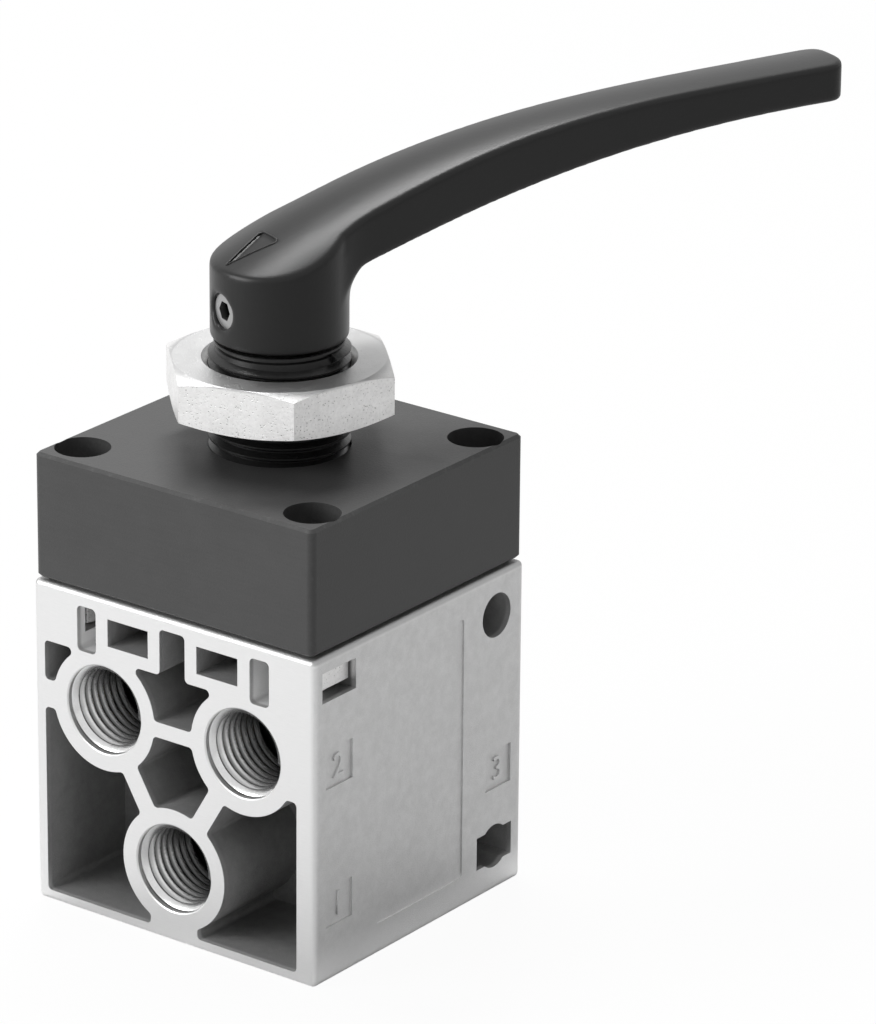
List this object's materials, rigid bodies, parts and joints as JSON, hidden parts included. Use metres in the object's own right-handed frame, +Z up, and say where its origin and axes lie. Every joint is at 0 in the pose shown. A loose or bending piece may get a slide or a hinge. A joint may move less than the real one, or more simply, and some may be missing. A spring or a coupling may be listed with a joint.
{
  "type": "hand lever air valve",
  "caption": "Hand lever air valve for panel mounting: ribbed cast body with threaded ports, black head block, threaded neck with hex nut, and a curved black lever that turns a face cam.",
  "frame": {"origin": "middle of the body's flat base, below the spindle", "axes": "+Z up along the spindle and neck, -Y out of the front face with ports 4, 2 and 1, +X along the front face to the right, out of the face with the side holes"},
  "size_m": [0.0616, 0.1112, 0.1104],
  "materials": {
    "cast_aluminium": "machined front face, blasted sides",
    "black_aluminium": "satin black, lightly worn",
    "black_steel": "glossy black",
    "black_lever": "satin black",
    "plated_steel": "zinc plated",
    "plain_steel": "ground",
    "brass": "turned",
    "bronze": "sintered",
    "nitrile_rubber": "matt",
    "acetal": "matt"
  },
  "bodies": {
    "valve": {"detent_balls": "plain_steel", "detent_springs": "plain_steel", "head_block": "black_aluminium", "head_gasket": "nitrile_rubber", "head_screws_long": "plated_steel", "head_screws_short": "plated_steel", "left_bottom_plug": "brass", "left_guide_bush": "brass", "left_plug_o_ring": "nitrile_rubber", "left_retaining_ring": "plain_steel", "left_return_spring": "plain_steel", "left_sleeve_o_rings": "nitrile_rubber", "left_stem_o_ring": "nitrile_rubber", "left_valve_sleeve": "brass", "lower_bush": "bronze", "mounting_neck": "black_steel", "panel_nut": "plated_steel", "right_bottom_plug": "brass", "right_guide_bush": "brass", "right_plug_o_ring": "nitrile_rubber", "right_retaining_ring": "plain_steel", "right_return_spring": "plain_steel", "right_sleeve_o_rings": "nitrile_rubber", "right_stem_o_ring": "nitrile_rubber", "right_valve_sleeve": "brass", "spindle_o_ring": "nitrile_rubber", "square_nuts": "plated_steel", "thrust_washer": "acetal", "upper_bush": "bronze", "valve_body": "cast_aluminium"},
    "lever": {"hand_lever": "black_lever", "lever_set_screw": "plated_steel", "spindle": "plain_steel", "face_cam": "acetal", "cam_pin": "plain_steel"},
    "left_valve": {"left_tappet": "plain_steel", "left_plunger": "plain_steel", "left_inlet_poppet": "brass", "left_exhaust_seal": "nitrile_rubber", "left_inlet_seal": "nitrile_rubber"},
    "right_valve": {"right_tappet": "plain_steel", "right_plunger": "plain_steel", "right_inlet_poppet": "brass", "right_exhaust_seal": "nitrile_rubber", "right_inlet_seal": "nitrile_rubber"}
  },
  "joints": [
    {"name": "lever_turn", "type": "hinge", "parent": "valve", "child": "lever", "pos_m": [0, 0, 0.084], "axis": [0, 0, 1], "range_deg": [0, 42]},
    {"name": "left_valve_slide", "type": "slide", "parent": "valve", "child": "left_valve", "axis": [0, 0, 1], "range_m": [-0.0022, 0], "deforming": ["left_return_spring"]},
    {"name": "right_valve_slide", "type": "slide", "parent": "valve", "child": "right_valve", "axis": [0, 0, 1], "range_m": [0, 0.0022], "deforming": ["right_return_spring"]}
  ],
  "couplings": [
    {"joint": "left_valve_slide", "follows": "lever_turn", "m_per_rad": -0.003},
    {"joint": "right_valve_slide", "follows": "lever_turn", "m_per_rad": 0.003}
  ]
}
